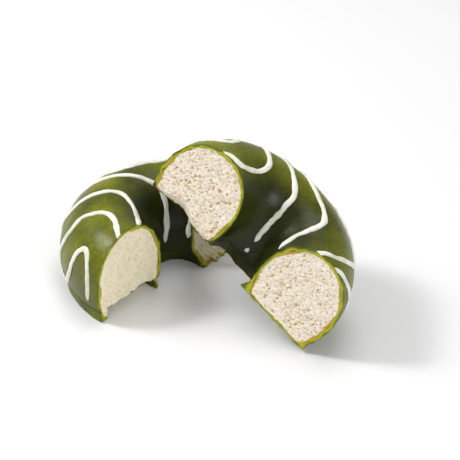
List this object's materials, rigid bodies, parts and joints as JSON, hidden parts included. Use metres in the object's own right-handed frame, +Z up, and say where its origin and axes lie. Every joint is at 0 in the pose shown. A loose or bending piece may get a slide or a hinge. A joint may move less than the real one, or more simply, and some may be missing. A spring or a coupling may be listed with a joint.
{
  "type": "ring doughnut",
  "caption": "Ring doughnut with a smooth glaze and drizzled icing, cut straight across; one half lies flat and the other leans on it, showing the crumb.",
  "frame": {"origin": "on the resting plane, under the middle of the bounding box of the two halves as they lie", "axes": "+Z up from the resting plane; +X to the right along the longer side, towards the leaning half; +Y away from the cut ends, towards the back of the lying half"},
  "size_m": [0.1306, 0.1068, 0.079],
  "materials": {
    "dough": "matte",
    "glaze": "satin",
    "icing": "satin"
  },
  "bodies": {
    "root": {"lying_half_dough": "dough", "lying_half_glaze": "glaze", "lying_icing_front": "icing", "lying_icing_middle": "icing", "lying_icing_back": "icing", "lying_icing_inner": "icing", "leaning_half_dough": "dough", "leaning_half_glaze": "glaze", "leaning_icing_top": "icing", "leaning_icing_left": "icing", "leaning_icing_right": "icing", "leaning_icing_low": "icing", "leaning_icing_drip": "icing"}
  },
  "joints": []
}
